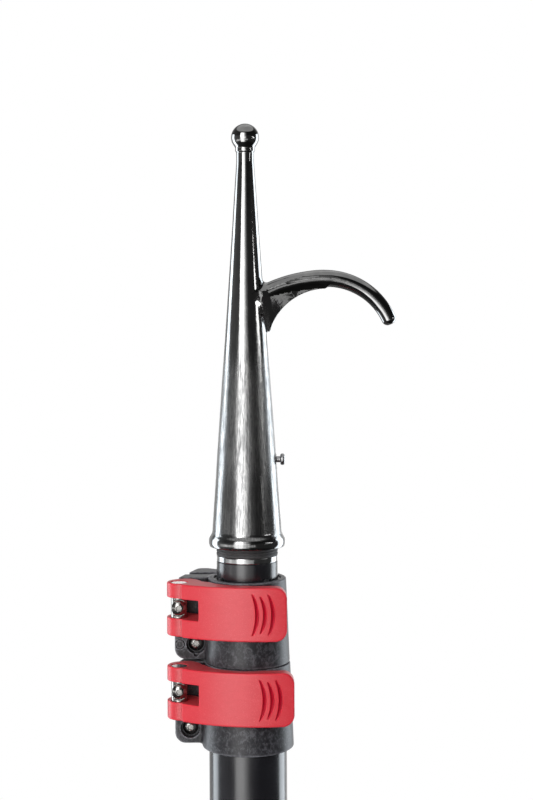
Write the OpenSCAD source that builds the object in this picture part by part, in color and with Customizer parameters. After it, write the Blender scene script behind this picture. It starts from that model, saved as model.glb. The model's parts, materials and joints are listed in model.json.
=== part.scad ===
// Telescopic boat hook: three black tubes, two lever clamps and a polished steel hook head.
// The origin is on the pole's axis at the flat butt face. +Z runs up the pole, the hook points
// to +X and both clamp levers close across the -Y side, with their pivots at -X.

/* [Tubes] */
// Outside diameter of the inner tube
inner_tube_d = 30; // [29.6:0.1:30]
// Outside diameter of the middle tube
middle_tube_d = 34; // [33.8:0.1:34]
// Outside diameter of the outer tube
outer_tube_d = 38; // [37.9:0.1:38]
// Wall thickness of all three tubes
tube_wall = 1.6; // [1.4:0.1:1.6]
// Height of the lower clamp's bottom edge above the butt face
lower_clamp_z = 646; // [500:1:900]

/* [Clamps] */
// Height of a clamp body
clamp_h = 40.9; // [40.9:0.1:43]
// Gap between the two clamp bodies when the pole is closed
clamp_gap = 0.3; // [0.3:0.1:2]
// Radius of the upper clamp body at its bottom edge
upper_base_r = 20.6; // [20.2:0.1:20.6]
// Radius of the lower clamp body at its bottom edge
lower_base_r = 22.4; // [22.1:0.1:22.4]
// How far a clamp body's side draws in from bottom to top
body_draft = 1.6; // [1.4:0.1:1.8]
// Width of the split between a clamp's two ears
split_w = 6; // [4.5:0.1:6.2]

/* [Levers] */
// Height of a lever
lever_h = 25.5; // [24:0.1:25.5]
// Height of the fork slot at the lever's pivot end
lever_slot_h = 9.7; // [9.2:0.1:10]
// How far the upper lever's free end reaches past the pole's axis
upper_lever_reach = 18.8; // [17:0.1:20]
// How far the lower lever's free end reaches past the pole's axis
lower_lever_reach = 22.1; // [20:0.1:23]

/* [Hook head] */
// Height of the steel head from its lip to the centre of the ball
head_h = 199.8; // [195:0.1:210]
// Radius of the ball at the tip
ball_r = 6.9; // [6.5:0.1:7.2]
// Radius of the rolled lip at the bottom of the head
lip_r = 18.6; // [18.2:0.1:19]
// Radius of the hook's throat
throat_r = 29.9; // [29:0.1:31]
// Thickness of the hook at its highest point
hook_thick = 8.5; // [7.5:0.1:9]
// How far the lock button stands out of the head
button_proud = 4; // [3.5:0.1:5]

/* [Hidden] */

$fn = 96;
eps = 0.5;            // overrun of a cutting tool past the face it cuts
slide_gap = 0.05;     // radial clearance of a piece that slides or turns on another
seat_gap = 0.03;      // radial clearance of a piece seated in its own body

// Tube radii
inner_r = inner_tube_d / 2;
middle_r = middle_tube_d / 2;
outer_r = outer_tube_d / 2;
inner_bore_r = inner_r - tube_wall;
middle_bore_r = middle_r - tube_wall;
outer_bore_r = outer_r - tube_wall;

// Heights along the pole, from the butt up
plug_flange_h = 6;
plug_spigot_h = 20;
bush_flange_h = 14;
bush_spigot_h = 20;
end_gap = 1;
middle_bush_z = plug_flange_h + plug_spigot_h + end_gap;
middle_tube_z = middle_bush_z + bush_flange_h;
inner_bush_z = middle_tube_z + bush_spigot_h + end_gap;
inner_tube_z = inner_bush_z + bush_flange_h;
upper_clamp_z = lower_clamp_z + clamp_h + clamp_gap;
inner_tube_show = 8.2;
inner_tube_top = upper_clamp_z + clamp_h + inner_tube_show;

// Inside a clamp body
tube_seat_h = 15;
seat_neck = 0.4;      // the outer tube is this much smaller in radius inside its clamp
relief_h = 1.8;
relief_wall = 1.6;
sleeve_wall = 1.4;
sleeve_recess = 0.6;
sleeve_foot = 0.3;
sleeve_slit_w = 2;
sleeve_slit_y = 8.5;
tab_r = 1.3;
tab_rise = 0.4;
tab_first_angle = -55;

// Ears of a clamp body, in plan
ear_front_y = 0.8;
ear_left_x = -36;
split_y = 13.2;
ear_low_z = 0.4;
ear_corner_r = 6;
ear_plan = [[ear_left_x, ear_front_y], [ear_left_x, 24], [-31, 24], [-25.6, 27], [-23.5, 29], [-20, 29],
    [-9, 21], [3, 17], [0, ear_front_y]];
ear_step_z = 34.6;
ear_slant = [[ear_left_x - 2, ear_front_y - 2], [-35.8, ear_front_y - 2], [-25.6, 27.2], [-25.6, 31],
    [ear_left_x - 2, 31]];

// Screws and nuts, M4
screw_r = 2;
screw_hole_r = 2.15;
button_head_r = 3.8;
button_head_h = 2.2;
button_head_rim = 0.6;
socket_af = 2.5;
socket_h = 1.3;
nut_af = 7;
nut_h = 3.2;
nut_pocket_gap = 0.1;
fixing_z = 7.85;
fixing_head_recess = 1;
counterbore_r = 4.65;
fixing_screw_l = 20;
tension_screw_l = 35;
upper_fixing_x = -25.3;
lower_fixing_x = -28.3;
pip_r = 2.4;
pip_x = -33.2;
pip_groove = 0.35;
notch_r = 1.1;
notch_drop = 4.9;

// Lever and its pivot
pivot = [-33, -9.8];
eye_offset = [1.5, 2.1];
eye_r = 7.5;
barrel_r = 4;
barrel_recess = 0.2;
head_seat_y = 3;
lever_z = 14.8;
lower_lever_lift = 0.9;    // the lower lever and its screw sit this much higher in their clamp
slot_z = lever_z + 8.7;
slot_end_x = -23.3;
tension_z = slot_z + lever_slot_h / 2;
lower_lever_base_z = lower_clamp_z + lower_lever_lift;
lever_front_x = 6;
lever_front_y = -28.2;
lever_blade_t = 7;
lever_back_gap = 0.45;
lever_corner_r = 5.5;
back_trim = [[-33, 0.27], [-10, -15.9], [-10, 5], [-33, 5]];
swing_r = 11.3;        // a lever that opens clears its clamp body inside this radius of its pivot

// The lever's front face is an arc that runs smoothly into its eye
eye_c = pivot + eye_offset;
front_run = lever_front_x - eye_c[0];
front_rise = eye_c[1] - lever_front_y;
front_arc_r = (front_run * front_run + front_rise * front_rise - eye_r * eye_r) / (2 * (front_rise - eye_r));
front_arc_c = [lever_front_x, lever_front_y + front_arc_r];

// Steel head and what it stands on
adapter_ring_h = 2.9;
gasket_h = 4.3;
head_z = inner_tube_top + adapter_ring_h + gasket_h;
ball_z = head_z + head_h;
adapter_spigot_r = 12;
adapter_bore_r = 9.5;
adapter_spigot_top = head_z + 52;
adapter_foot_z = inner_tube_top - 26;
cone_base_r = 17.1;
cone_base_z = head_z + 7.1;
cone_slope = 0.0705;
neck_r = 4.35;
neck_z = head_z + 188.6;
collar_r = 4.9;
collar_z = head_z + 192.7;
collar_h = 1.6;
lip_h = 5;
lip_round = 2.2;
core_wall = 2.4;
core_top_z = head_z + 163;

// Hook arm: a half ring in the XZ plane that grows from its tip to its root
throat_c = [39.5, head_z + 96.5];
hook_tip_a = 25.7;
hook_root_a = 168;
hook_tip_thick = 7.4;
hook_steps = 44;
hook_sides = 24;
root_start_a = 98;
root_growth = 0.0031;
root_limit = 16;

// Lock button and its spring, across the head
button_z = head_z + 42.2;
button_r = 2.8;
button_flange_r = 4.3;
button_flange_x = 6.6;
button_flange_h = 1.6;
button_tail_r = 1.5;
button_tail_l = 5;
button_groove_w = 1.9;
button_groove_r = 1.5;
button_head_l = 2.2;
spring_r = 2.5;
spring_wire_r = 0.32;
spring_turns = 8;
spring_end_x = -8.9;
spring_sides = 6;
spring_steps = 14;

function cone_r(z) = cone_base_r - cone_slope * (z - cone_base_z);
function at_angle(a, r) = [r * cos(a), r * sin(a)];
// Points of an arc about c, from angle a0 to a1
function arc(c, r, a0, a1, steps = 12) = [for (i = [0 : steps]) c + at_angle(a0 + (a1 - a0) * i / steps, r)];

// Joins rings of points, all with the same number of sides, into one closed skin
module skin(rings) {
    sides = len(rings[0]);
    last = len(rings) - 1;
    points = [for (ring = rings) for (p = ring) p];
    walls = [for (i = [0 : last - 1]) for (j = [0 : sides - 1])
        let (k = (j + 1) % sides, a = i * sides, b = (i + 1) * sides)
        each [[a + j, b + j, b + k], [a + j, b + k, a + k]]];
    polyhedron(points, concat(walls, [[for (j = [0 : sides - 1]) j]],
        [[for (j = [sides - 1 : -1 : 0]) last * sides + j]]));
}

module tube(r, bore_r, z0, z1) {
    translate([0, 0, z0]) difference() {
        cylinder(h = z1 - z0, r = r);
        translate([0, 0, -eps]) cylinder(h = z1 - z0 + 2 * eps, r = bore_r);
    }
}

module outer_tube() {
    neck_z = lower_clamp_z - 0.1;
    color("#17181b") {
        tube(outer_r, outer_bore_r, plug_flange_h, neck_z);
        tube(outer_r - seat_neck, outer_bore_r, neck_z, lower_clamp_z + tube_seat_h);
    }
}

module middle_tube() {
    color("#17181b") tube(middle_r, middle_bore_r, middle_tube_z, upper_clamp_z + tube_seat_h);
}

module inner_tube() {
    color("#17181b") tube(inner_r, inner_bore_r, inner_tube_z, inner_tube_top - seat_gap);
}

module butt_plug() {
    chamfer = 1;
    rim_r = outer_r - 0.5;
    hollow_wall = 2.6;
    color("#222326") difference() {
        union() {
            cylinder(h = chamfer, r1 = rim_r - chamfer, r2 = rim_r);
            translate([0, 0, chamfer]) cylinder(h = plug_flange_h - chamfer, r = rim_r);
            translate([0, 0, plug_flange_h]) cylinder(h = plug_spigot_h, r = outer_bore_r - seat_gap);
        }
        translate([0, 0, plug_flange_h]) cylinder(h = plug_spigot_h + eps, r = outer_bore_r - hollow_wall);
    }
}

// Guide bush on the foot of a sliding tube: its flange runs in the tube around it
module guide_bush(flange_r, spigot_r, z) {
    wall = 2.4;
    color("#d8d6cf") difference() {
        union() {
            translate([0, 0, z]) cylinder(h = bush_flange_h, r = flange_r - slide_gap);
            translate([0, 0, z + bush_flange_h]) cylinder(h = bush_spigot_h, r = spigot_r - slide_gap);
        }
        translate([0, 0, z - eps])
            cylinder(h = bush_flange_h + bush_spigot_h + 2 * eps, r = spigot_r - wall);
    }
}

module middle_guide_bush() { guide_bush(outer_bore_r, middle_bore_r, middle_bush_z); }

module inner_guide_bush() { guide_bush(middle_bore_r, inner_bore_r, inner_bush_z); }

// Lays a part along -Y, head towards the levers' side, at (x, y, z)
module towards_front(x, y, z) {
    translate([x, y, z]) rotate([90, 0, 0]) children();
}

// Side outline of the two ears, drawn in XZ and pushed through along Y
module ear_side() {
    towards_front(0, 30, 0) linear_extrude(40) difference() {
        translate([ear_left_x, ear_low_z]) square([-ear_left_x, clamp_h - ear_low_z]);
        translate([ear_left_x, ear_low_z]) difference() {
            translate([-eps, -eps]) square(ear_corner_r + eps);
            translate([ear_corner_r, ear_corner_r]) circle(r = ear_corner_r);
        }
    }
}

module ears() {
    difference() {
        intersection() {
            linear_extrude(clamp_h) polygon(ear_plan);
            ear_side();
        }
        translate([0, 0, ear_step_z]) linear_extrude(clamp_h) polygon(ear_slant);
    }
}

module nut_pocket(x, z, y) {
    pocket_r = (nut_af / 2 + nut_pocket_gap) / cos(30);
    towards_front(x, 30, z) cylinder(h = 30 - y, r = pocket_r, $fn = 6);
}

module clamp_body(fixed_r, sliding_r, base_r, fixing_x, lift = 0) {
    sleeve_r = sliding_r + sleeve_wall;
    fixing_nut_y = ear_front_y + fixing_head_recess + button_head_h + fixing_screw_l - nut_h - 0.3;
    tension_nut_y = pivot[1] - head_seat_y + tension_screw_l - nut_h - 0.3;
    difference() {
        union() {
            cylinder(h = clamp_h, r1 = base_r, r2 = base_r - body_draft);
            ears();
        }
        translate([0, 0, -eps]) cylinder(h = tube_seat_h + eps, r = fixed_r + seat_gap);
        translate([0, 0, -eps]) cylinder(h = relief_h + eps, r = fixed_r + relief_wall);
        cylinder(h = clamp_h + eps, r = sleeve_r + seat_gap);
        translate([ear_left_x - eps, split_y - split_w / 2, -eps])
            cube([-ear_left_x, split_w, clamp_h + 2 * eps]);
        towards_front(fixing_x, 30, fixing_z) cylinder(h = 40, r = screw_hole_r, $fn = 32);
        towards_front(fixing_x, ear_front_y + fixing_head_recess + button_head_h, fixing_z)
            cylinder(h = 20, r = counterbore_r, $fn = 48);
        towards_front(pivot[0], 30, tension_z + lift) cylinder(h = 40, r = screw_hole_r, $fn = 32);
        nut_pocket(fixing_x, fixing_z, fixing_nut_y);
        nut_pocket(pivot[0], tension_z + lift, tension_nut_y);
    }
}

module lower_clamp_body() {
    color("#2b2c2f") translate([0, 0, lower_clamp_z])
        clamp_body(outer_r - seat_neck, middle_r, lower_base_r, lower_fixing_x, lower_lever_lift);
}

// The upper body also has a round moulding mark beside its fixing screw and a drain notch below it
module upper_clamp_body() {
    color("#2b2c2f") translate([0, 0, upper_clamp_z]) difference() {
        clamp_body(middle_r, inner_r, upper_base_r, upper_fixing_x);
        towards_front(pip_x, ear_front_y + 0.5, fixing_z) difference() {
            cylinder(h = 2, r = pip_r, $fn = 32);
            translate([0, 0, -eps]) cylinder(h = 3, r = pip_r - pip_groove, $fn = 32);
        }
        towards_front(upper_fixing_x, ear_front_y + 2, fixing_z - notch_drop)
            cylinder(h = 4, r = notch_r, $fn = 24);
    }
}

// Split liner that the clamp closes on the sliding tube, with four round tabs at its top
module clamp_sleeve(sliding_r) {
    inner = sliding_r + slide_gap;
    outer = sliding_r + sleeve_wall;
    top = clamp_h - sleeve_recess;
    bottom = tube_seat_h + sleeve_foot;
    difference() {
        union() {
            tube(outer, inner, bottom, top);
            intersection() {
                tube(outer, inner, bottom, top + 2 * tab_r + tab_rise);
                for (i = [0 : 3]) rotate([90, 0, tab_first_angle + 90 * i])
                    translate([0, top + tab_rise, 0]) cylinder(h = outer + 1, r = tab_r, $fn = 32);
            }
        }
        translate([-outer - eps, sleeve_slit_y - sleeve_slit_w / 2, bottom - eps])
            cube([outer, sleeve_slit_w, top - bottom + 2 * eps]);
    }
}

module lower_clamp_sleeve() {
    color("#141416") translate([0, 0, lower_clamp_z]) clamp_sleeve(middle_r);
}

module upper_clamp_sleeve() {
    color("#141416") translate([0, 0, upper_clamp_z]) clamp_sleeve(inner_r);
}

// Outline of a lever seen from above
module lever_plan(back_r, reach) {
    translate(eye_c) circle(r = eye_r);
    difference() {
        intersection() {
            translate(front_arc_c) circle(r = front_arc_r, $fn = 192);
            translate([eye_c[0], -40])
                square([reach + eps - eye_c[0], 40 + ear_front_y - lever_back_gap - 0.2]);
        }
        circle(r = back_r);
        difference() {
            polygon(back_trim);
            translate(pivot) circle(r = swing_r);
        }
        difference() {
            translate([0, -40]) square([40, 40]);
            difference() {
                translate([-eps, -41]) square([42, 42]);
                translate(front_arc_c) circle(r = front_arc_r - lever_blade_t, $fn = 192);
            }
        }
    }
}

// Outline of a lever seen from the front, with its round free end
module lever_side(reach) {
    length = reach - ear_left_x + 10;
    difference() {
        translate([ear_left_x - 10, lever_z]) square([length, lever_h]);
        for (up = [0, 1]) translate([reach, lever_z + up * lever_h]) mirror([0, up]) difference() {
            translate([-lever_corner_r, -eps]) square([lever_corner_r + eps, lever_corner_r + eps]);
            translate([-lever_corner_r, lever_corner_r]) circle(r = lever_corner_r, $fn = 48);
        }
    }
}

module clamp_lever(base_r, reach) {
    back_r = base_r - body_draft * lever_z / clamp_h + lever_back_gap;
    difference() {
        intersection() {
            linear_extrude(clamp_h) lever_plan(back_r, reach);
            towards_front(0, 10, 0) linear_extrude(60) lever_side(reach);
        }
        translate([ear_left_x - 10, -40, slot_z]) cube([slot_end_x - ear_left_x + 10, 60, lever_slot_h]);
        translate([pivot[0], pivot[1], 0]) cylinder(h = clamp_h + eps, r = barrel_r + slide_gap, $fn = 64);
    }
}

module lower_lever() {
    color("#d2464e") translate([0, 0, lower_lever_base_z]) clamp_lever(lower_base_r, lower_lever_reach);
}

module upper_lever() {
    color("#d2464e") translate([0, 0, upper_clamp_z]) clamp_lever(upper_base_r, upper_lever_reach);
}

// Steel cross pin that the lever turns on and the tension screw pulls
module pivot_barrel() {
    difference() {
        translate([pivot[0], pivot[1], lever_z + barrel_recess])
            cylinder(h = lever_h - 2 * barrel_recess, r = barrel_r, $fn = 64);
        towards_front(pivot[0], 0, tension_z) cylinder(h = 20, r = screw_hole_r, $fn = 32);
        towards_front(pivot[0], pivot[1] - head_seat_y, tension_z)
            cylinder(h = 5, r = button_head_r + 0.3, $fn = 48);
    }
}

module lower_pivot_barrel() { color("#c9cacc") translate([0, 0, lower_lever_base_z]) pivot_barrel(); }

module upper_pivot_barrel() { color("#c9cacc") translate([0, 0, upper_clamp_z]) pivot_barrel(); }

// Button head screw along Z: head above z = 0, shank below it
module button_screw(length) {
    dome = button_head_h - button_head_rim;
    dome_r = (button_head_r * button_head_r + dome * dome) / (2 * dome);
    difference() {
        union() {
            intersection() {
                cylinder(h = button_head_h, r = button_head_r, $fn = 48);
                translate([0, 0, button_head_h - dome_r]) sphere(r = dome_r, $fn = 96);
            }
            translate([0, 0, -length]) cylinder(h = length + eps, r = screw_r, $fn = 32);
        }
        translate([0, 0, button_head_h - socket_h])
            cylinder(h = socket_h + eps, r = socket_af / 2 / cos(30), $fn = 6);
    }
}

module tension_screw() {
    towards_front(pivot[0], pivot[1] - head_seat_y, tension_z) button_screw(tension_screw_l);
}

module fixing_screw(x) {
    towards_front(x, ear_front_y + fixing_head_recess + button_head_h, fixing_z)
        button_screw(fixing_screw_l);
}

module lower_tension_screw() { color("#b9b9b7") translate([0, 0, lower_lever_base_z]) tension_screw(); }

module upper_tension_screw() { color("#b9b9b7") translate([0, 0, upper_clamp_z]) tension_screw(); }

module lower_fixing_screw() {
    color("#b9b9b7") translate([0, 0, lower_clamp_z]) fixing_screw(lower_fixing_x);
}

module upper_fixing_screw() {
    color("#b9b9b7") translate([0, 0, upper_clamp_z]) fixing_screw(upper_fixing_x);
}

module nut(x, screw_end_y, z) {
    towards_front(x, screw_end_y - 0.3, z) difference() {
        cylinder(h = nut_h, r = nut_af / 2 / cos(30), $fn = 6);
        translate([0, 0, -eps]) cylinder(h = nut_h + 2 * eps, r = screw_r, $fn = 32);
    }
}

module tension_nut() { nut(pivot[0], pivot[1] - head_seat_y + tension_screw_l, tension_z); }

module fixing_nut(x) {
    nut(x, ear_front_y + fixing_head_recess + button_head_h + fixing_screw_l, fixing_z);
}

module lower_tension_nut() { color("#a8a9ab") translate([0, 0, lower_lever_base_z]) tension_nut(); }

module upper_tension_nut() { color("#a8a9ab") translate([0, 0, upper_clamp_z]) tension_nut(); }

module lower_fixing_nut() { color("#a8a9ab") translate([0, 0, lower_clamp_z]) fixing_nut(lower_fixing_x); }

module upper_fixing_nut() { color("#a8a9ab") translate([0, 0, upper_clamp_z]) fixing_nut(upper_fixing_x); }

// Lays a part across the head along +X, at the lock button's height
module across(x) {
    translate([x, 0, button_z]) rotate([0, 90, 0]) children();
}

// Steel spigot that joins the head to the inner tube; its shoulder is the bright ring in view
module head_adapter() {
    spring_seat_r = 3.2;
    color("#c9cacc") difference() {
        union() {
            tube(inner_bore_r - seat_gap, adapter_bore_r, adapter_foot_z, inner_tube_top);
            tube(inner_r, adapter_bore_r, inner_tube_top, inner_tube_top + adapter_ring_h);
            tube(adapter_spigot_r, adapter_bore_r, inner_tube_top + adapter_ring_h, adapter_spigot_top);
        }
        across(0) cylinder(h = 20, r = button_r + slide_gap, $fn = 48);
        across(-adapter_bore_r) cylinder(h = 5, r = spring_seat_r, $fn = 48);
    }
}

module head_gasket() {
    rib_h = 0.35;
    rib_r = 0.3;
    z = inner_tube_top + adapter_ring_h;
    color("#1c1c1e") difference() {
        tube(inner_r, adapter_spigot_r + seat_gap, z, z + gasket_h);
        for (t = [0.36, 0.68]) translate([0, 0, z + t * gasket_h]) rotate_extrude()
            translate([inner_r + rib_r - rib_h, 0]) circle(r = rib_r, $fn = 16);
    }
}

// Half outline of the head's turned shape, from the lip up to the neck
function head_outline() = concat(
    [[0, head_z]],
    arc([lip_r - lip_round, head_z + lip_round], lip_round, -90, 0),
    arc([lip_r - lip_round, head_z + lip_h - lip_round], lip_round, 0, 55),
    [[cone_r(cone_base_z) + 0.35, head_z + lip_h + 0.9], [cone_r(cone_base_z), cone_base_z + 1.5]],
    [[neck_r + 0.2, neck_z], [neck_r, neck_z + 2], [neck_r, ball_z], [0, ball_z]]);

function hook_in(a) = throat_c + at_angle(a, throat_r);
function hook_h(a) = a < 90
    ? hook_tip_thick + (hook_thick - hook_tip_thick) * (a - hook_tip_a) / (90 - hook_tip_a)
    : min(root_limit, hook_thick + 0.035 * (a - 90) + root_growth * pow(max(0, a - root_start_a), 2));
function hook_half_w(a) = hook_h(min(a, 90)) / 2 + 0.035 * max(0, a - 90);
function hook_ring(a) = [for (j = [0 : hook_sides - 1])
    let (t = 360 * j / hook_sides, half = hook_h(a) / 2)
    let (p = throat_c + at_angle(a, throat_r + half + half * cos(t)))
    [p[0], hook_half_w(a) * sin(t), p[1]]];

module hook_arm() {
    skin([for (i = [0 : hook_steps]) hook_ring(hook_tip_a + (hook_root_a - hook_tip_a) * i / hook_steps)]);
    tip = throat_c + at_angle(hook_tip_a, throat_r + hook_tip_thick / 2);
    translate([tip[0], 0, tip[1]]) sphere(r = hook_tip_thick / 2 + 0.01, $fn = 48);
}

module hook_head() {
    core_r0 = cone_r(adapter_spigot_top) - core_wall;
    core_r1 = cone_r(core_top_z) - core_wall;
    color("#cdcecf") difference() {
        union() {
            rotate_extrude() polygon(head_outline());
            translate([0, 0, collar_z]) cylinder(h = collar_h, r = collar_r);
            translate([0, 0, ball_z]) sphere(r = ball_r);
            hook_arm();
        }
        translate([0, 0, head_z - eps])
            cylinder(h = adapter_spigot_top - head_z + 1 + eps, r = adapter_spigot_r + seat_gap);
        translate([0, 0, adapter_spigot_top])
            cylinder(h = core_top_z - adapter_spigot_top, r1 = core_r0, r2 = core_r1);
        across(0) cylinder(h = 30, r = button_r + slide_gap, $fn = 48);
    }
}

module lock_button() {
    end_x = cone_r(button_z) + button_proud;
    tip_chamfer = 0.7;
    groove_x = end_x - button_head_l - button_groove_w;
    color("#8f9092") {
        across(button_flange_x) cylinder(h = groove_x - button_flange_x, r = button_r, $fn = 48);
        across(button_flange_x)
            cylinder(h = end_x - tip_chamfer - button_flange_x, r = button_groove_r, $fn = 48);
        across(end_x - button_head_l) cylinder(h = button_head_l - tip_chamfer, r = button_r, $fn = 48);
        across(end_x - tip_chamfer)
            cylinder(h = tip_chamfer, r1 = button_r, r2 = button_r - tip_chamfer, $fn = 48);
        across(button_flange_x) cylinder(h = button_flange_h, r = button_flange_r, $fn = 48);
        across(button_flange_x - button_tail_l) cylinder(h = button_tail_l, r = button_tail_r, $fn = 32);
    }
}

function spring_ring(i) =
    let (a = 360 * i / spring_steps, t = i / (spring_steps * spring_turns))
    let (x0 = spring_end_x + spring_wire_r, x1 = button_flange_x - 0.02 - spring_wire_r)
    [for (j = [0 : spring_sides - 1])
        let (b = 360 * j / spring_sides, r = spring_r + spring_wire_r * cos(b))
        [x0 + (x1 - x0) * t + spring_wire_r * sin(b), r * cos(a), button_z + r * sin(a)]];

module button_spring() {
    color("#9a9b9d") skin([for (i = [0 : spring_steps * spring_turns]) spring_ring(i)]);
}

outer_tube();
butt_plug();
middle_tube();
middle_guide_bush();
inner_tube();
inner_guide_bush();
lower_clamp_body();
lower_clamp_sleeve();
lower_lever();
lower_pivot_barrel();
lower_tension_screw();
lower_tension_nut();
lower_fixing_screw();
lower_fixing_nut();
upper_clamp_body();
upper_clamp_sleeve();
upper_lever();
upper_pivot_barrel();
upper_tension_screw();
upper_tension_nut();
upper_fixing_screw();
upper_fixing_nut();
head_adapter();
head_gasket();
hook_head();
lock_button();
button_spring();
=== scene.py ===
import json
import math

import bpy
import numpy as np
from mathutils import Matrix, Vector


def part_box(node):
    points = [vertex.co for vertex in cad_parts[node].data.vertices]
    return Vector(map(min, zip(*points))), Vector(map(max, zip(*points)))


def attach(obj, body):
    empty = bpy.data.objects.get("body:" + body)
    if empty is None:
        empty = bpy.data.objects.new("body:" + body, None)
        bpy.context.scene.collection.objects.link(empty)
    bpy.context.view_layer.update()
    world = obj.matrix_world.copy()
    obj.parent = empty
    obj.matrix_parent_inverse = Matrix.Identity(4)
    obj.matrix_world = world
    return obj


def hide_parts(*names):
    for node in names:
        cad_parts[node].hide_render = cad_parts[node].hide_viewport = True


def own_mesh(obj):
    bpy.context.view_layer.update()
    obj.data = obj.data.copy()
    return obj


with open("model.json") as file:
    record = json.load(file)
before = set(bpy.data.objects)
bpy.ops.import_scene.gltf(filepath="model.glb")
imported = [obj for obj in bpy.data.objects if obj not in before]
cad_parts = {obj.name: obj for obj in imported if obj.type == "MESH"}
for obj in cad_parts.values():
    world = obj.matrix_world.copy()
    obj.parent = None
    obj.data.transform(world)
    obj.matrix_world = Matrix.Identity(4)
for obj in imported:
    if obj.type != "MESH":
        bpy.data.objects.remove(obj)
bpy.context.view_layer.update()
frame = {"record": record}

# Lengths in the shape functions are in millimetres, in the row frame.
MM = 0.001
EDGE_SPAN = 0.6      # reach of the test that finds outer edges
BATCH = 4000         # blocks of the grid that are filled at a time
NEAR = 1.25          # how many blocks from the surface a block still counts as near
DRAW_PASSES = 4      # how often the points are drawn onto the surface
DRAW_STEP = 0.5      # the furthest that one pass moves a point, in grid steps
NORMAL_SPAN = 0.12   # reach of the test for a point's normal, in grid steps


def box_mm(node):
    """Lowest and highest corner of a CAD node, in mm."""
    low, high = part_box(node)
    return np.array(low) / MM, np.array(high) / MM


# ---------------------------------------------------------------- rounded solids from fields
# A field gives, for each point, how far outside the solid it is (negative inside).

def radius(p, x=0.0, y=0.0):
    return np.hypot(p[:, 0] - x, p[:, 1] - y)


def join(a, b, r=0.0):
    """Union of two fields, with a round fillet of radius r where they meet."""
    if not r:
        return np.minimum(a, b)
    ca, cb = np.maximum(r - a, 0), np.maximum(r - b, 0)
    return np.maximum(r, np.minimum(a, b)) - np.hypot(ca, cb)


def common(a, b, r=0.0):
    """Intersection of two fields, with a round edge of radius r where they meet."""
    if not r:
        return np.maximum(a, b)
    ca, cb = np.maximum(r + a, 0), np.maximum(r + b, 0)
    return np.minimum(-r, np.maximum(a, b)) + np.hypot(ca, cb)


def cut(a, b, r=0.0):
    """a without b, with a round edge of radius r where b cuts the surface."""
    return common(a, -b, r)


def between(v, low, high):
    return np.abs(v - (low + high) / 2) - (high - low) / 2


def half_plane(p, point, normal):
    """Positive on the side of the line through point that normal points to, in plan."""
    n = np.array(normal, float) / np.hypot(*normal)
    return (p[:, 0] - point[0]) * n[0] + (p[:, 1] - point[1]) * n[1]


def hexagon(u, v, flats):
    """A hexagon of that width across flats, in the plane of u and v."""
    slope = math.sqrt(3) / 2
    side = np.maximum(np.abs(u) * slope + np.abs(v) / 2, np.abs(v))
    return side - flats / 2


def sampled(field, low, high, step, block=6):
    """The field on a grid of nodes from low, in steps. Blocks far from the surface get one value."""
    count = np.ceil((high - low) / (step * block)).astype(int)
    grid = np.indices(count).reshape(3, -1).T
    middle = field(low + (grid + 0.5) * block * step)
    near = np.abs(middle) < block * step * NEAR
    values = middle.reshape(count).astype(np.float32)
    for axis in range(3):
        values = np.repeat(values, block, axis=axis)
    values = np.pad(values, [(0, 1)] * 3, mode="edge")
    local = np.indices([block + 1] * 3).reshape(3, -1).T
    chosen = grid[near]
    for start in range(0, len(chosen), BATCH):
        nodes = (chosen[start:start + BATCH, None] * block + local[None]).reshape(-1, 3)
        values[nodes[:, 0], nodes[:, 1], nodes[:, 2]] = field(low + nodes * step)
    return values


def net(field, low, high, step):
    """Points and four-sided faces on the zero surface of a field."""
    low = np.array(low, float) - 2 * step
    high = np.array(high, float) + 2 * step
    values = sampled(field, low, high, step)
    inside = values < 0
    corners = np.indices([2, 2, 2]).reshape(3, -1).T
    size = np.array(values.shape) - 1
    total = np.zeros(size, np.int8)
    for c in corners:
        total += inside[c[0]:c[0] + size[0], c[1]:c[1] + size[1], c[2]:c[2] + size[2]]
    active = (total > 0) & (total < 8)
    cells = np.argwhere(active)
    number = np.full(size, -1, np.int64)
    number[active] = np.arange(len(cells))
    place, hits = np.zeros((len(cells), 3)), np.zeros(len(cells))
    for a in corners:
        for axis in range(3):
            if a[axis]:
                continue
            b = a.copy()
            b[axis] = 1
            fa = values[tuple((cells + a).T)].astype(float)
            fb = values[tuple((cells + b).T)].astype(float)
            crossed = (fa < 0) != (fb < 0)
            t = np.where(crossed, fa / np.where(crossed, fa - fb, 1), 0)
            point = a + t[:, None] * (b - a)
            place += point * crossed[:, None]
            hits += crossed
    points = low + (cells + place / hits[:, None]) * step
    faces = []
    for axis in range(3):
        u, v = np.eye(3, dtype=int)[(axis + 1) % 3], np.eye(3, dtype=int)[(axis + 2) % 3]
        first = np.take(inside, range(inside.shape[axis] - 1), axis=axis)
        second = np.take(inside, range(1, inside.shape[axis]), axis=axis)
        edges = np.argwhere(first != second)
        edges = edges[np.all((edges - u - v >= 0) & (edges < size), axis=1)]
        ring = [number[tuple((edges - o).T)] for o in (0 * u, u, u + v, v)]
        quads = np.stack(ring, axis=1)
        outward = first[tuple(edges.T)]
        faces.append(np.where(outward[:, None], quads, quads[:, ::-1]))
    return points, np.concatenate(faces)


def gradient(field, p, h=0.03):
    g = np.empty_like(p)
    for axis in range(3):
        e = np.zeros(3)
        e[axis] = h
        g[:, axis] = (field(p + e) - field(p - e)) / (2 * h)
    return g


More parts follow.
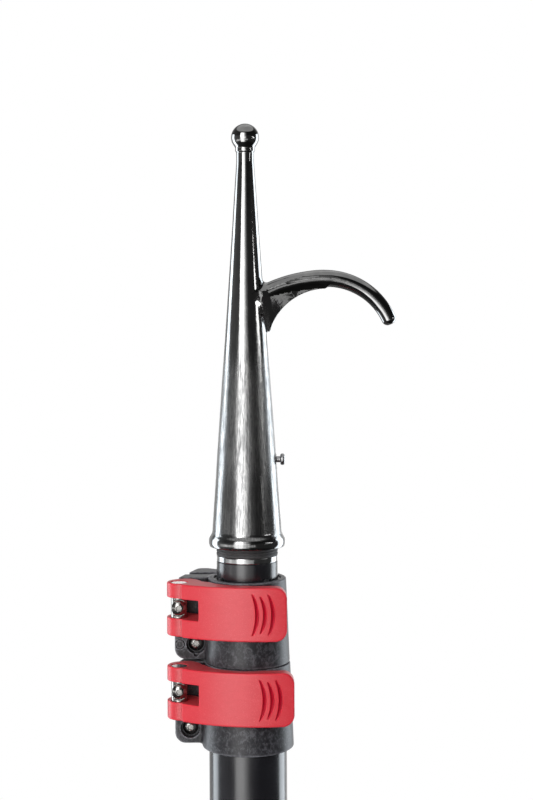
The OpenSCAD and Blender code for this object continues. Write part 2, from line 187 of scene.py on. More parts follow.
def solid(name, field, low, high, step):
    """A mesh object of the field's solid, its points drawn onto the surface and kept in the box."""
    points, faces = net(field, low, high, step)
    for _ in range(DRAW_PASSES):
        value, slope = field(points), gradient(field, points)
        move = value[:, None] * slope / np.maximum((slope ** 2).sum(1), 0.25)[:, None]
        length = np.linalg.norm(move, axis=1)
        points -= move * np.minimum(1, DRAW_STEP * step / np.maximum(length, 1e-9))[:, None]
    points = np.clip(points, low, high)
    normals = gradient(field, points, NORMAL_SPAN * step)
    normals /= np.maximum(np.linalg.norm(normals, axis=1), 1e-9)[:, None]
    obj = mesh_object(name, points, faces, normals)
    mark(obj, "edge", np.clip(bend(field, points, EDGE_SPAN) * EDGE_SPAN, 0, 1))
    return obj


def bend(field, p, h):
    """Curvature of the surface at its points: positive on outer edges, per mm."""
    total = -6 * field(p)
    for axis in range(3):
        e = np.zeros(3)
        e[axis] = h
        total += field(p + e) + field(p - e)
    return total / h ** 2


def mark(obj, name, values):
    """Stores one number for each point of a mesh, for its material to read."""
    attribute = obj.data.attributes.new(name, "FLOAT", "POINT")
    attribute.data.foreach_set("value", np.asarray(values, np.float32))


def mesh_object(name, points, faces, normals=None):
    mesh = bpy.data.meshes.new(name)
    mesh.from_pydata((np.asarray(points) * MM).tolist(), [], np.asarray(faces).tolist())
    mesh.polygons.foreach_set("use_smooth", [True] * len(mesh.polygons))
    mesh.validate()
    if normals is not None and len(mesh.vertices) == len(normals):
        mesh.normals_split_custom_set_from_vertices(normals.tolist())
    obj = bpy.data.objects.new(name, mesh)
    bpy.context.scene.collection.objects.link(obj)
    return obj


# ---------------------------------------------------------------- sizes, taken from the frame

OUTER_LOW, OUTER_HIGH = box_mm("outer_tube")
MIDDLE_LOW, MIDDLE_HIGH = box_mm("middle_tube")
INNER_LOW, INNER_HIGH = box_mm("inner_tube")
ADAPTER_LOW, ADAPTER_HIGH = box_mm("head_adapter")
GASKET_LOW, GASKET_HIGH = box_mm("head_gasket")
HEAD_LOW, HEAD_HIGH = box_mm("hook_head")
BUTTON_LOW, BUTTON_HIGH = box_mm("lock_button")
SEAT = 0.03      # radial clearance between pieces of one body
SLIDE = 0.05     # radial clearance of a piece that turns or slides
WALL = 1.6       # of every tube
NECK = {"upper": 0.0, "lower": 0.4}     # how much a tube is reduced in radius inside its clamp
SEAT_H = 15      # height of a tube's seat inside its clamp

# ---------------------------------------------------------------- steel head

HEAD_Z = HEAD_LOW[2]
LIP_R = -HEAD_LOW[0]
BALL_R = 6.9
BALL_Z = HEAD_HIGH[2] - BALL_R
LIP_H, LIP_ROUND = 5.0, 2.2
CONE_R, CONE_Z, CONE_SLOPE = 17.1, HEAD_Z + 7.1, 0.0705
NECK_R = 4.35
COLLAR_R, COLLAR_Z, COLLAR_H = 4.9, HEAD_Z + 192.7, 1.6
SOCKET_R = 12 + SEAT
CORE_TOP, CORE_WALL = HEAD_Z + 163, 2.4
THROAT_X, THROAT_Z, THROAT_R = 39.5, HEAD_Z + 96.5, 29.9
TIP_A, TIP_THICK, HOOK_THICK = 25.7, 7.4, 8.5
TIP_BLUNT, TIP_ROUND = 3.4, 3.1
CROWN_A = 90         # the arm's crown; angles are in degrees round the throat
ROOT_A, ROOT_DEPTH = 168.0, 16.0
ARM_GROWTH = 0.035   # of the arm's depth, per degree past the crown
ROOT_START_A, ROOT_GROWTH = 98, 0.0031
WEB_A, WEB_FADE, WEB_START = 92.0, 30.0, 0.4
WEB_EDGE, WEB_SLOPE = 1.3, 0.26      # half thickness at the throat, and its growth away from it
WEB_END, WEB_FILLET = 161.0, 3.6
WEB_TURN = 0.5       # mm along the throat for each degree
ARM_FILLET, HEAD_FILLET, BALL_FILLET, COLLAR_FILLET = 0.5, 2.6, 1.2, 0.5
BUTTON_Z = (BUTTON_LOW[2] + BUTTON_HIGH[2]) / 2
BUTTON_R = 2.8
BUTTON_CAP, BUTTON_GROOVE, GROOVE_STEM_R = 2.2, 1.9, 1.5


def cone_radius(z):
    return CONE_R - CONE_SLOPE * (z - CONE_Z)


def arm_depth(a):
    """Depth of the hook arm in its own plane, at angle a round the throat."""
    outer = HOOK_THICK + ARM_GROWTH * (a - CROWN_A) + ROOT_GROWTH * np.maximum(0, a - ROOT_START_A) ** 2
    inner = TIP_THICK + (HOOK_THICK - TIP_THICK) * (a - TIP_A) / (CROWN_A - TIP_A)
    return np.where(a < CROWN_A, inner, np.minimum(ROOT_DEPTH, outer))


def hook_fields(p):
    """The arm, a round rod, and the thinner web between rod and throat near its root."""
    x, z = p[:, 0] - THROAT_X, p[:, 2] - THROAT_Z
    a = np.degrees(np.arctan2(z, x))
    a = np.where(a < -90, a + 360, a)
    held = np.clip(a, TIP_A, ROOT_A)
    rod = np.minimum(arm_depth(held), HOOK_THICK) / 2
    middle = THROAT_R + arm_depth(held) - rod
    turn = np.radians(held)
    out = x * np.cos(turn) + z * np.sin(turn) - middle
    along = z * np.cos(turn) - x * np.sin(turn)
    arm = np.hypot(np.hypot(out, p[:, 1]), np.maximum(along, 0)) - rod
    arm = common(arm, -along - TIP_BLUNT, TIP_ROUND)
    from_throat = np.hypot(x, z) - THROAT_R
    thin = (WEB_EDGE + WEB_SLOPE * from_throat) * np.clip((a - WEB_A) / WEB_FADE, WEB_START, 1)
    web = common(between(from_throat, 0, middle - THROAT_R), np.abs(p[:, 1]) - thin)
    web = np.maximum(web, np.maximum(WEB_A - a, a - WEB_END) * WEB_TURN)
    return arm, web


def head_field(p):
    z, r = p[:, 2], radius(p)
    cone = (r - np.maximum(cone_radius(z), NECK_R)) / math.hypot(1, CONE_SLOPE)
    body = common(cone, between(z, HEAD_Z + 1, BALL_Z))
    arm, web = hook_fields(p)
    body = join(join(body, web, WEB_FILLET), join(arm, web, ARM_FILLET), HEAD_FILLET)
    lip = common(r - LIP_R, between(z, HEAD_Z, HEAD_Z + LIP_H), LIP_ROUND)
    body = join(body, lip, HEAD_FILLET)
    collar = common(r - COLLAR_R, between(z, COLLAR_Z, COLLAR_Z + COLLAR_H), 0.5)
    ball = np.sqrt(r ** 2 + (z - BALL_Z) ** 2) - BALL_R
    body = join(join(body, ball, BALL_FILLET), collar, COLLAR_FILLET)
    spigot_top = ADAPTER_HIGH[2]
    socket = common(r - SOCKET_R, between(z, HEAD_Z - 5, spigot_top + 1))
    core = (r - cone_radius(z) + CORE_WALL) / math.hypot(1, CONE_SLOPE)
    core = common(core, between(z, spigot_top, CORE_TOP))
    body = cut(cut(body, socket, 0.4), core)
    button = np.hypot(p[:, 1], z - BUTTON_Z) - BUTTON_R - SLIDE
    return cut(body, common(button, -p[:, 0]), 0.35)


# ---------------------------------------------------------------- clamps

EAR_FRONT, EAR_LEFT, EAR_LOW = 0.8, -36.0, 0.4
EAR_X, EAR_DEPTH = [-31, -25.6, -23.5, -20, -9, 3], [24, 27, 29, 29, 21, 17]
EAR_RIGHT, EAR_STEP_Z, EAR_CORNER_R = 2, 34.6, 6.0
EAR_SLANT_AT, EAR_SLANT_OUT = (-35.8, -4.8), (-32.0, 10.2)
EAR_FILLET = 1.6
DRAFT = 1.6          # taper of the body's radius over its height
SPLIT_Y, SPLIT_W = 13.2, 6.0
RELIEF_WALL, RELIEF_H = 1.57, 1.8
SCREW_HOLE_R, COUNTERBORE_R, NUT_GAP = 2.15, 4.65, 0.2
PIP_X, PIP_R, PIP_LINE, PIP_DEEP = -33.2, 2.2, 0.2, 0.5     # a ring cut into the upper ear
NOTCH_DROP, NOTCH_R, NOTCH_DEEP = 4.9, 1.1, 2
SLEEVE_WALL, SLEEVE_SLIT_Y, SLEEVE_SLIT_W = 1.4, 8.5, 2
TAB_A, TAB_R, TAB_RISE = -55.0, 1.3, 0.4
EYE_OFFSET, EYE_R, SWING_R = (1.5, 2.1), 7.5, 11.3
LEVER_FRONT_X, LEVER_FRONT_Y = 6.0, -28.2
BLADE_T, BACK_GAP = 7.0, 0.45
SLOT_END_X, SLOT_DROP = -23.3, 8.7
LEVER_EDGE, LEVER_CORNER_R = 0.75, 5.5
BACK_CUT_AT, BACK_CUT_OUT, BACK_CUT_X = (-27.5, -3.6), (12.3, 17.5), -10
GRIP_BACK = (13.7, 9.95, 6.1)      # from the free end back to each groove's deepest line
GRIP_HALF = (9.8, 8.8, 9.6)        # half height of each groove
GRIP_SAG, GRIP_WIDE, GRIP_DEEP = 2.8, 1.45, 2.0
GRIP_POINT, GRIP_STEEP = 0.35, 0.35      # width left at a groove's ends, and run of its steep side


class Clamp:
    """The sizes of one clamp, read from its nodes in the frame."""

    def __init__(self, side, fixed_high, sliding_high, base_r):
        self.side = side
        self.low, self.high = box_mm(f"{side}_clamp_body")
        self.z, self.top = self.low[2], self.high[2]
        self.base_r = base_r
        self.fixed_r = fixed_high[0] - NECK[side] + SEAT
        self.sleeve_r = sliding_high[0] + SLEEVE_WALL + SEAT
        lever_low, lever_high = box_mm(f"{side}_lever")
        self.lever_low, self.lever_high = lever_low, lever_high
        self.reach = lever_high[0]
        barrel_low, barrel_high = box_mm(f"{side}_pivot_barrel")
        self.pivot = (barrel_low + barrel_high)[:2] / 2
        self.barrel_r = (barrel_high[0] - barrel_low[0]) / 2
        screw_low, screw_high = box_mm(f"{side}_tension_screw")
        self.tension_z = (screw_low[2] + screw_high[2]) / 2
        fix_low, fix_high = box_mm(f"{side}_fixing_screw")
        self.fixing = (fix_low + fix_high) / 2
        self.fixing_head_y = fix_low[1]
        self.tension_nut = box_mm(f"{side}_tension_nut")
        self.fixing_nut = box_mm(f"{side}_fixing_nut")
        self.slot = (lever_low[2] + SLOT_DROP, 2 * self.tension_z - lever_low[2] - SLOT_DROP)

    def body_radius(self, z):
        return self.base_r - DRAFT * (z - self.z) / (self.top - self.z)


def lever_front(clamp, p):
    """Radius of the lever's curved front in plan, and how far each point is from its centre."""
    ex, ey = clamp.pivot + EYE_OFFSET
    run, rise = LEVER_FRONT_X - ex, ey - LEVER_FRONT_Y
    front_r = (run ** 2 + rise ** 2 - EYE_R ** 2) / (2 * (rise - EYE_R))
    return front_r, radius(p, LEVER_FRONT_X, LEVER_FRONT_Y + front_r)


def grip_depth(clamp, p):
    """Depth of the crescent grip grooves. Each is steep towards the free end."""
    middle = (clamp.lever_low[2] + clamp.lever_high[2]) / 2
    depth = np.zeros(len(p))
    for back, half in zip(GRIP_BACK, GRIP_HALF):
        t = np.clip(np.abs(p[:, 2] - middle) / half, 0, 1.2)
        fade = np.clip(1 - t ** 2, 0, 1)
        u = clamp.reach - back - GRIP_SAG * t ** 2 - p[:, 0]
        wide = GRIP_WIDE * (GRIP_POINT + (1 - GRIP_POINT) * fade)
        wall = np.where(u > 0, 1 - u / wide, 1 + u / GRIP_STEEP)
        depth = np.maximum(depth, GRIP_DEEP * np.sqrt(fade * np.clip(wall, 0, 1)))
    return depth


def lever_field(clamp, p):
    x, y, z = p.T
    ex, ey = clamp.pivot + EYE_OFFSET
    front_r, from_front = lever_front(clamp, p)
    lever_z, lever_top = clamp.lever_low[2], clamp.lever_high[2]
    back_r = clamp.body_radius(lever_z) + BACK_GAP
    blade = common(from_front - front_r, ex - x)
    blade = common(blade, y - (EAR_FRONT - BACK_GAP - 0.2))
    blade = common(blade, back_r - radius(p), 0.4)
    behind = common(-half_plane(p, BACK_CUT_AT, BACK_CUT_OUT), x - BACK_CUT_X)
    blade = cut(blade, cut(behind, radius(p, *clamp.pivot) - SWING_R), 0.6)
    thin = join(front_r - BLADE_T - from_front, x + 1, 3)
    blade = common(blade, thin, 0.5)
    plan = join(radius(p, ex, ey) - EYE_R, blade, 1.0)
    side = common(x - clamp.reach, between(z, lever_z, lever_top), LEVER_CORNER_R)
    body = common(plan, side, LEVER_EDGE)
    slot = common(x - SLOT_END_X, between(z, *clamp.slot), 0.3)
    body = cut(body, slot, 0.3)
    body = cut(body, radius(p, *clamp.pivot) - clamp.barrel_r - SLIDE, 0.4)
    return np.maximum(body, (grip_depth(clamp, p) - front_r + from_front) * 0.5)


def ear_plan(p, top):
    """Outline of the two ears in plan. The top of the ears is cut back at their left end."""
    x, y = p[:, 0], p[:, 1]
    plan = common(EAR_LEFT - x, EAR_FRONT - y, 1.2)
    plan = common(plan, y - np.interp(x, EAR_X, EAR_DEPTH), 1.5)
    plan = common(plan, x - EAR_RIGHT)
    slant = half_plane(p, EAR_SLANT_AT, EAR_SLANT_OUT)
    return np.where(top, common(plan, slant, 1.2), plan)


def counterbore(p, x, z, y, r):
    """A round pocket along Y that is open to the front, with its floor at y."""
    return common(np.hypot(p[:, 0] - x, p[:, 2] - z) - r, p[:, 1] - y)


def nut_pocket(p, nut):
    low, high = nut
    mid = (low + high) / 2
    flats = high[2] - low[2] + NUT_GAP
    return common(hexagon(p[:, 0] - mid[0], p[:, 2] - mid[2], flats), low[1] - p[:, 1])


def clamp_field(clamp, p):
    x, y, z = p.T
    r = radius(p)
    wall = (r - clamp.body_radius(z)) / math.hypot(1, DRAFT / (clamp.top - clamp.z))
    height = between(z, clamp.z, clamp.top)
    barrel = common(wall, height, 0.7)
    ears = common(ear_plan(p, z > clamp.z + EAR_STEP_Z), between(z, clamp.z + EAR_LOW, clamp.top))
    corner = common(EAR_LEFT - x, clamp.z + EAR_LOW - z, EAR_CORNER_R)
    ears = common(common(ears, corner, 0.8), height, 0.8)
    body = join(barrel, ears, EAR_FILLET)
    body = cut(body, common(r - clamp.fixed_r, z - clamp.z - SEAT_H))
    body = cut(body, common(r - clamp.fixed_r - RELIEF_WALL, z - clamp.z - RELIEF_H), 0.3)
    body = cut(body, r - clamp.sleeve_r, 0.4)
    body = cut(body, common(np.abs(y - SPLIT_Y) - SPLIT_W / 2, x), 0.3)
    fixing_x, fixing_z = clamp.fixing[0], clamp.fixing[2]
    head_floor = clamp.fixing_head_y + HEAD_H
    body = cut(body, counterbore(p, fixing_x, fixing_z, head_floor, COUNTERBORE_R), 0.35)
    for hole_x, hole_z in ((fixing_x, fixing_z), (clamp.pivot[0], clamp.tension_z)):
        body = cut(body, np.hypot(x - hole_x, z - hole_z) - SCREW_HOLE_R)
    for nut in (clamp.fixing_nut, clamp.tension_nut):
        body = cut(body, nut_pocket(p, nut), 0.2)
    if clamp.side == "upper":
        pip = np.abs(np.hypot(x - PIP_X, z - fixing_z) - PIP_R) - PIP_LINE
        body = cut(body, common(pip, y - EAR_FRONT - PIP_DEEP))
        notch = counterbore(p, fixing_x, fixing_z - NOTCH_DROP, EAR_FRONT + NOTCH_DEEP, NOTCH_R)
        body = cut(body, notch, 0.2)
    return body


def sleeve_field(sleeve, p):
    """Split liner with four round tabs that stand up around the sliding tube."""
    x, y, z = p.T
    r = radius(p)
    wall = between(r, sleeve.inner_r, sleeve.outer_r)
    body = common(wall, between(z, sleeve.bottom, sleeve.rim), 0.2)
    for i in range(4):
        turn = math.radians(TAB_A + 90 * i)
        side = x * math.cos(turn) + y * math.sin(turn)
        out = x * math.sin(turn) - y * math.cos(turn)
        tab = common(np.hypot(side, z - sleeve.rim - TAB_RISE) - TAB_R, -out)
        body = join(body, common(wall, tab, 0.25))
    return cut(body, common(np.abs(y - SLEEVE_SLIT_Y) - SLEEVE_SLIT_W / 2, x))


class Sleeve:
    """The sizes of one clamp's liner, read from its node in the frame."""

    def __init__(self, side, sliding_high):
        low, high = box_mm(f"{side}_clamp_sleeve")
        self.inner_r = sliding_high[0] + SLIDE
        self.outer_r = high[0]
        self.bottom = low[2]
        self.rim = high[2] - TAB_R - TAB_RISE


# ---------------------------------------------------------------- screws, nuts and pins

HEAD_R, HEAD_H, HEAD_RIM = 3.8, 2.2, 0.6
DOME_R = (HEAD_R ** 2 + (HEAD_H - HEAD_RIM) ** 2) / (2 * (HEAD_H - HEAD_RIM))
SCREW_R, THREAD_PITCH, THREAD_DEEP = 2.0, 0.7, 0.12
KEY, KEY_DEEP = 2.5, 1.3
BARREL_HOLE_GAP, BARREL_HEAD_GAP, HEAD_SEAT = 0.15, 0.3, 3.0


def screw_field(axis, head_y, tip_y, p):
    """Button head screw along Y, its head towards -Y. The axis is a point in XZ."""
    u, v, y = p[:, 0] - axis[0], p[:, 2] - axis[1], p[:, 1] - head_y
    r = np.hypot(u, v)
    dome = np.sqrt(r ** 2 + (y - DOME_R) ** 2) - DOME_R
    head = common(common(dome, r - HEAD_R, 0.25), y - HEAD_H, 0.1)
    groove = THREAD_DEEP * (1 + np.sin(2 * np.pi * y / THREAD_PITCH - np.arctan2(v, u)))
    shank = r - SCREW_R + np.where(y > HEAD_H + 1, groove, 0)
    shank = common(shank, between(y, 0.5, tip_y - head_y), 0.4)
    key = common(hexagon(u, v, KEY), y - KEY_DEEP)
    return cut(join(head, shank, 0.2), key, 0.12)


def nut_field(axis, low_y, high_y, flats, p):
    """Hexagon nut along Y, with its corners turned off at both faces."""
    u, v = p[:, 0] - axis[0], p[:, 2] - axis[1]
    r, y = np.hypot(u, v), between(p[:, 1], low_y, high_y)
    nut = common(hexagon(u, v, flats), y, 0.12)
    nut = common(nut, (r + 1.73 * y) / 2 - 0.47 * flats)
    return cut(nut, r - SCREW_R, 0.25)


def barrel_field(clamp, p):
    """Cross pin of a lever, with the tension screw's head let into it."""
    low, high = box_mm(f"{clamp.side}_pivot_barrel")
    pin = common(radius(p, *clamp.pivot) - clamp.barrel_r, between(p[:, 2], low[2], high[2]), 0.45)
    off = np.hypot(p[:, 0] - clamp.pivot[0], p[:, 2] - clamp.tension_z)
    pin = cut(pin, off - SCREW_R - BARREL_HOLE_GAP)
    return cut(pin, common(off - HEAD_R - BARREL_HEAD_GAP, p[:, 1] - clamp.pivot[1] + HEAD_SEAT), 0.2)


# ---------------------------------------------------------------- what the head sits on

BUTTON_TAIL, BUTTON_TAIL_R, BUTTON_FLANGE_W = 5.0, 1.5, 1.6
ADAPTER_BORE_R = 9.5
SPRING_SEAT_R, SPRING_SEAT_DEEP = 3.2, 5
GASKET_GROOVES, GROOVE_R = (0.36, 0.68), 0.32     # heights of the grooves, as shares of the gasket's


def button_field(p):
    """Lock button along X: a round end, a flange inside the socket and a tail for the spring."""
    x, r = p[:, 0], np.hypot(p[:, 1], p[:, 2] - BUTTON_Z)
    low, high = BUTTON_LOW[0], BUTTON_HIGH[0]
    flange_x = low + BUTTON_TAIL
    cap = common(r - BUTTON_R, between(x, high - BUTTON_CAP, high), 0.9)
    stem = common(r - BUTTON_R, between(x, flange_x, high - BUTTON_CAP - BUTTON_GROOVE), 0.2)
    stem = join(join(stem, common(r - GROOVE_STEM_R, between(x, flange_x, high - 1)), 0.2), cap, 0.2)
    flange_r = (BUTTON_HIGH[2] - BUTTON_LOW[2]) / 2
    flange = common(r - flange_r, between(x, flange_x, flange_x + BUTTON_FLANGE_W), 0.2)
    tail = common(r - BUTTON_TAIL_R, between(x, low, flange_x + 1), 0.3)
    return join(join(stem, flange, 0.2), tail, 0.2)


def adapter_field(p):
    """Spigot between the inner tube and the head. Its shoulder is the bright ring in view."""
    r, z = radius(p), p[:, 2]
    bore = INNER_HIGH[0] - WALL - SEAT
    ring_top = GASKET_LOW[2]
    foot = common(r - bore, between(z, ADAPTER_LOW[2], INNER_HIGH[2] + 1), 0.5)
    ring = common(r - ADAPTER_HIGH[0], between(z, INNER_HIGH[2] + SEAT, ring_top), 0.35)
    spigot = common(r - SOCKET_R + SEAT, between(z, ring_top - 1, ADAPTER_HIGH[2]), 0.6)
    body = join(join(foot, ring), spigot)
    body = cut(body, r - ADAPTER_BORE_R, 0.3)
    off = np.hypot(p[:, 1], z - BUTTON_Z)
    body = cut(body, common(off - BUTTON_R - SLIDE, -p[:, 0]))
    return cut(body, common(off - SPRING_SEAT_R, p[:, 0] + ADAPTER_BORE_R - SPRING_SEAT_DEEP))


def gasket_field(p):
    r, z = radius(p), p[:, 2]
    low, high = GASKET_LOW[2], GASKET_HIGH[2]
    body = common(between(r, SOCKET_R, GASKET_HIGH[0]), between(z, low, high), 0.25)
    for share in GASKET_GROOVES:
        groove = np.hypot(r - GASKET_HIGH[0], z - low - share * (high - low)) - GROOVE_R
        body = cut(body, groove, 0.12)
    return body


# ---------------------------------------------------------------- turned pieces

ARC_POINTS = 6       # points on each rounded corner
CORNER_SHARE = 0.45  # of its shorter side, the most that a corner's round takes


def turned(name, outline, rounds, steps=144):
    """A piece turned about the pole's axis. The outline is a closed list of (r, z) corners."""
    ring, facing = [], []
    count = len(outline)
    for i, (corner, want) in enumerate(zip(outline, rounds)):
        corner = np.array(corner, float)
        before = np.array(outline[i - 1]) - corner
        after = np.array(outline[(i + 1) % count]) - corner
        in_len, out_len = np.linalg.norm(before), np.linalg.norm(after)
        before, after = before / in_len, after / out_len
        half = math.acos(np.clip(before @ after, -1, 1)) / 2
        r = min(want, CORNER_SHARE * min(in_len, out_len) * math.tan(half))
        centre = corner + (before + after) / np.linalg.norm(before + after) * r / math.sin(half)
        start = np.array([before[1], -before[0]])
        end = np.array([-after[1], after[0]])
        if start @ (corner - centre) < 0:
            start, end = -start, -end
        for t in np.linspace(0, 1, ARC_POINTS):
            normal = start * (1 - t) + end * t
            normal /= np.linalg.norm(normal)
            ring.append(centre + normal * r)
            facing.append(normal)
    ring, facing = np.array(ring), np.array(facing)
    turn = np.linspace(0, 2 * np.pi, steps, endpoint=False)
    c, s = np.cos(turn)[:, None], np.sin(turn)[:, None]
    height, lean = np.repeat(ring[None, :, 1], steps, 0), np.repeat(facing[None, :, 1], steps, 0)
    points = np.stack([ring[:, 0] * c, ring[:, 0] * s, height], -1)
    normals = np.stack([facing[:, 0] * c, facing[:, 0] * s, lean], -1)
    m = len(ring)
    a = (np.arange(steps)[:, None] * m + np.arange(m)).ravel()
    b = (np.arange(steps)[:, None] * m + (np.arange(m) + 1) % m).ravel()
    faces = np.stack([a, b, (b + m) % (steps * m), (a + m) % (steps * m)], 1)
    area = 0.5 * sum(ring[i - 1][0] * ring[i][1] - ring[i][0] * ring[i - 1][1] for i in range(m))
    if area > 0:
        faces = faces[:, ::-1]
    return mesh_object(name, points.reshape(-1, 3), faces, normals.reshape(-1, 3))


# ---------------------------------------------------------------- materials

class Surface:
    """A Principled material, with short calls for the textures that vary it."""

    def __init__(self, name, metallic, roughness):
        self.material = bpy.data.materials.new(name)
        self.material.use_nodes = True
        tree = self.material.node_tree
        self.nodes, self.links = tree.nodes, tree.links
        self.shader = self.nodes["Principled BSDF"]
        self.shader.inputs["Metallic"].default_value = metallic
        self.shader.inputs["Roughness"].default_value = roughness
        self.place = self.nodes.new("ShaderNodeTexCoord").outputs["Object"]
        self.height = None

    def set(self, socket, value):
        """Links a texture to one of the shader's sockets."""
        self.links.new(value, self.shader.inputs[socket])

    def grain(self, size, stretch=(1, 1, 1), detail=2.0, twist=0.0):
        """Noise with spots of that size in mm. Stretch is how much longer they are along each axis."""
        scale = self.nodes.new("ShaderNodeMapping")
        scale.inputs["Scale"].default_value = [1 / (size * MM * s) for s in stretch]
        self.links.new(self.place, scale.inputs["Vector"])
        noise = self.nodes.new("ShaderNodeTexNoise")
        noise.inputs["Scale"].default_value = 1.0
        noise.inputs["Detail"].default_value = detail
        noise.inputs["Distortion"].default_value = twist
        self.links.new(scale.outputs["Vector"], noise.inputs["Vector"])
        return noise.outputs["Fac"]

    def cells(self, size):
        """Random value for each cell of that size in mm."""
        scale = self.nodes.new("ShaderNodeMapping")
        scale.inputs["Scale"].default_value = [1 / (size * MM)] * 3
        self.links.new(self.place, scale.inputs["Vector"])
        cell = self.nodes.new("ShaderNodeTexVoronoi")
        cell.inputs["Scale"].default_value = 1.0
        self.links.new(scale.outputs["Vector"], cell.inputs["Vector"])
        return cell.outputs["Distance"]

    def marked(self, name):
        """The number that mark() stored on the mesh."""
        node = self.nodes.new("ShaderNodeAttribute")
        node.attribute_name = name
        return node.outputs["Fac"]

    def ramp(self, value, *stops):
        """Colours or numbers at places from 0 to 1."""
        node = self.nodes.new("ShaderNodeValToRGB")
        ramp = node.color_ramp
        while len(ramp.elements) < len(stops):
            ramp.elements.new(0.5)
        for element, (at, colour) in zip(ramp.elements, stops):
            colour = colour if isinstance(colour, tuple) else (colour,) * 3
            element.position = at
            element.color = (*colour, 1)
        self.links.new(value, node.inputs["Fac"])
        return node.outputs["Color"]

    def blend(self, factor, a, b):
        node = self.nodes.new("ShaderNodeMix")
        node.data_type = "RGBA"
        for socket, value in ((0, factor), (6, a), (7, b)):
            if isinstance(value, (int, float)):
                node.inputs[socket].default_value = value
            elif isinstance(value, tuple):
                node.inputs[socket].default_value = (*value, 1)
            else:
                self.links.new(value, node.inputs[socket])
        return node.outputs[2]

    def math(self, kind, a, b):
        node = self.nodes.new("ShaderNodeMath")
        node.operation = kind
        for socket, value in enumerate((a, b)):
            if isinstance(value, (int, float)):
                node.inputs[socket].default_value = value
            else:
                self.links.new(value, node.inputs[socket])
        return node.outputs[0]

    def relief(self, value, depth, strength=1.0):
        """Bumps of that depth in mm, on top of those already there."""
        bump = self.nodes.new("ShaderNodeBump")
        bump.inputs["Distance"].default_value = depth * MM
        bump.inputs["Strength"].default_value = strength
        self.links.new(value, bump.inputs["Height"])
        if self.height:
            self.links.new(self.height, bump.inputs["Normal"])
        self.height = bump.outputs["Normal"]
        self.links.new(self.height, self.shader.inputs["Normal"])


def tube_material():
    """Black anodised aluminium with faint draw lines along the tube."""
    s = Surface("anodised_black", 0.0, 0.2)
    s.shader.inputs["IOR"].default_value = 1.75
    lines = s.grain(0.35, (1, 1, 160), 3)
    cloud = s.grain(9, (1, 1, 2.5))
    s.set("Base Color", s.ramp(s.blend(0.5, lines, cloud), (0.35, (0.0055, 0.0055, 0.007)),
                               (0.65, (0.011, 0.011, 0.014))))
    s.set("Roughness", s.ramp(s.blend(0.4, cloud, lines), (0.3, 0.17), (0.7, 0.27)))
    s.relief(lines, 0.0012)
    s.relief(s.grain(0.12), 0.0008)
    return s.material


def clamp_material():
    """Glass-filled nylon: mottled grey-black, a fine sandy skin and pale rubbed edges."""
    s = Surface("nylon_black", 0.0, 0.5)
    fibre = s.grain(0.35, (1, 1, 3), 4, 0.6)
    cloud = s.grain(3.2, (1, 1, 1), 5, 1.2)
    tone = s.blend(0.45, cloud, fibre)
    base = s.ramp(tone, (0.40, (0.004, 0.004, 0.006)), (0.5, (0.013, 0.013, 0.016)),
                  (0.60, (0.070, 0.070, 0.079)))
    wear = s.ramp(s.grain(1.1, (1, 1, 1), 4), (0.35, 0.25), (0.6, 0.85))
    rubbed = s.math("MULTIPLY", s.marked("edge"), wear)
    s.set("Base Color", s.blend(rubbed, base, (0.19, 0.19, 0.21)))
    s.set("Roughness", s.ramp(tone, (0.3, 0.32), (0.7, 0.5)))
    s.relief(cloud, 0.05, 0.5)
    s.relief(s.grain(0.22, (1, 1, 1), 3), 0.03, 0.7)
    return s.material


def lever_material():
    """Glass-filled nylon in red, with fine glass specks, faint flow marks, a painted highlight of
    brighter red along the edges and painted shade of dark red in the grip grooves.
    """
    s = Surface("nylon_red", 0.0, 0.42)
    s.shader.inputs["IOR"].default_value = 1.6
    s.shader.inputs["Subsurface Weight"].default_value = 0.06
    s.shader.inputs["Subsurface Radius"].default_value = (0.9, 0.25, 0.2)
    s.shader.inputs["Subsurface Scale"].default_value = MM
    flow = s.grain(6, (2.2, 1, 1), 3, 2.5)
    speck = s.grain(0.3, (1, 1, 1), 3)
    tone = s.blend(0.65, flow, speck)
    base = s.ramp(tone, (0.38, (0.46, 0.026, 0.036)), (0.5, (0.52, 0.034, 0.045)),
                  (0.62, (0.60, 0.070, 0.082)))
    fleck = s.ramp(s.grain(0.5, (1, 1, 1), 2), (0.58, 0.0), (0.70, 0.5))
    base = s.blend(fleck, base, (0.72, 0.20, 0.20))
    # Painted highlight: a brighter, purer red along the rounded edges stands in for the light they
    # catch.
    edge_highlighted = s.blend(s.marked("edge"), base, (0.62, 0.012, 0.028))
    # Painted shade: the grip grooves are coloured a dark red where they lie in shadow.
    s.set("Base Color", s.blend(s.marked("grip"), edge_highlighted, (0.50, 0.002, 0.025)))
    s.set("Roughness", s.ramp(tone, (0.3, 0.36), (0.7, 0.52)))
    s.relief(speck, 0.02, 0.6)
    s.relief(flow, 0.05, 0.25)
    return s.material


def sleeve_material():
    """Black acetal, smooth and a little waxy."""
    s = Surface("acetal_black", 0.0, 0.36)
    cloud = s.grain(1.4, (1, 1, 1), 3)
    s.set("Base Color", s.ramp(cloud, (0.3, (0.010, 0.010, 0.011)), (0.7, (0.020, 0.020, 0.022))))
    s.set("Roughness", s.ramp(cloud, (0.3, 0.30), (0.7, 0.44)))
    s.relief(s.grain(0.3), 0.01, 0.6)
    return s.material


def bush_material():
    """Natural acetal, scuffed by sliding."""
    s = Surface("acetal_natural", 0.0, 0.4)
    scuff = s.grain(0.5, (1, 1, 40), 4)
    cloud = s.grain(4)
    s.set("Base Color", s.ramp(s.blend(0.5, scuff, cloud), (0.35, (0.56, 0.54, 0.48)),
                               (0.65, (0.72, 0.70, 0.65))))
    s.set("Roughness", s.ramp(scuff, (0.3, 0.34), (0.7, 0.55)))
    s.relief(scuff, 0.008, 0.6)
    return s.material


